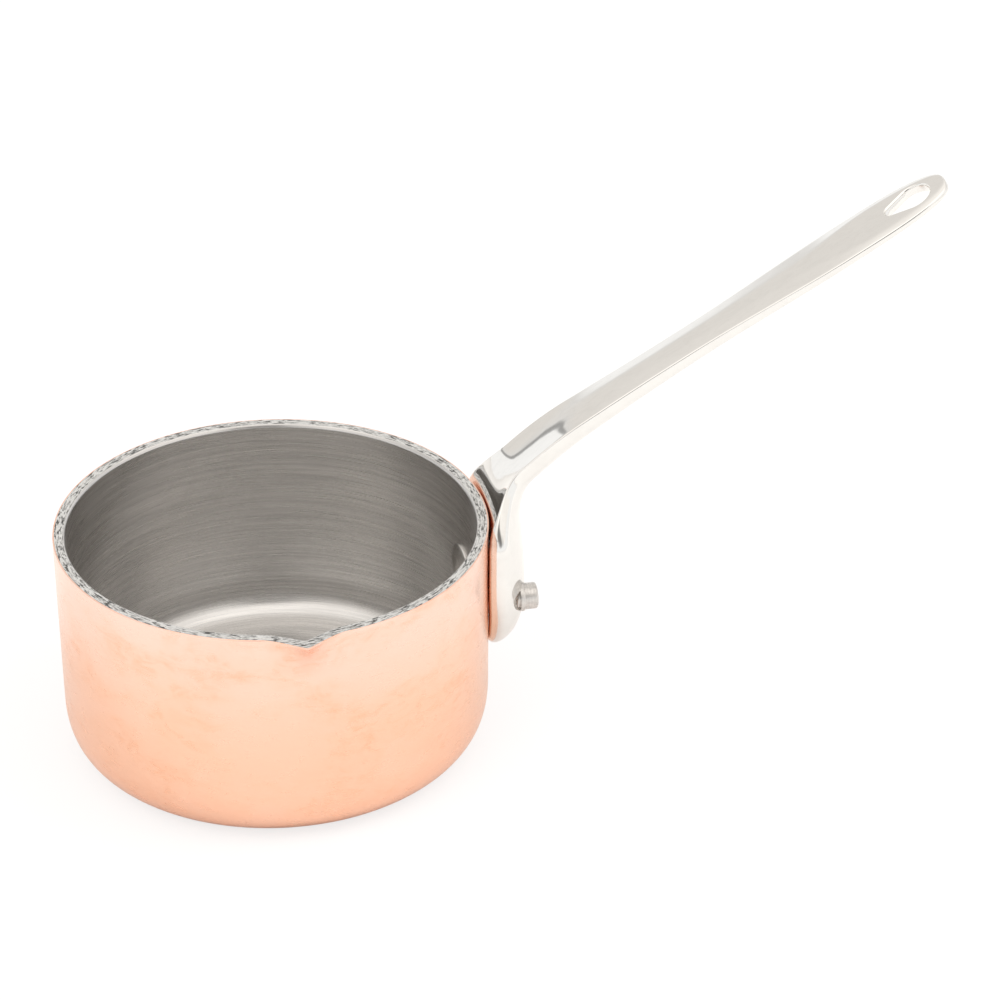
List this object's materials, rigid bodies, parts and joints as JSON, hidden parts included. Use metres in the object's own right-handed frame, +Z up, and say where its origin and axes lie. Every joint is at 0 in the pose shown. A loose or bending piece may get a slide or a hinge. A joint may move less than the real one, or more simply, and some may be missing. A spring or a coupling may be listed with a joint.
{
  "type": "saucepan",
  "caption": "Small round saucepan of clad copper with a pouring lip and a long riveted cast steel handle that ends in a hanging eye.",
  "frame": {"origin": "centre of the pan's flat base, on the surface it stands on", "axes": "+Z up along the pan's axis, +X out along the handle, -Y towards the pouring lip"},
  "size_m": [0.1869, 0.094, 0.1148],
  "materials": {
    "copper": "polished copper",
    "aluminium": "ground flat at the rim",
    "lining": "brushed round the pan",
    "cast_steel": "mirror polished cast stainless steel",
    "rivet_steel": "turned, satin"
  },
  "bodies": {
    "root": {"copper_shell": "copper", "aluminium_core": "aluminium", "steel_lining": "lining", "handle": "cast_steel", "rivet_near": "rivet_steel", "rivet_far": "rivet_steel", "collar_near": "rivet_steel", "collar_far": "rivet_steel"}
  },
  "joints": []
}
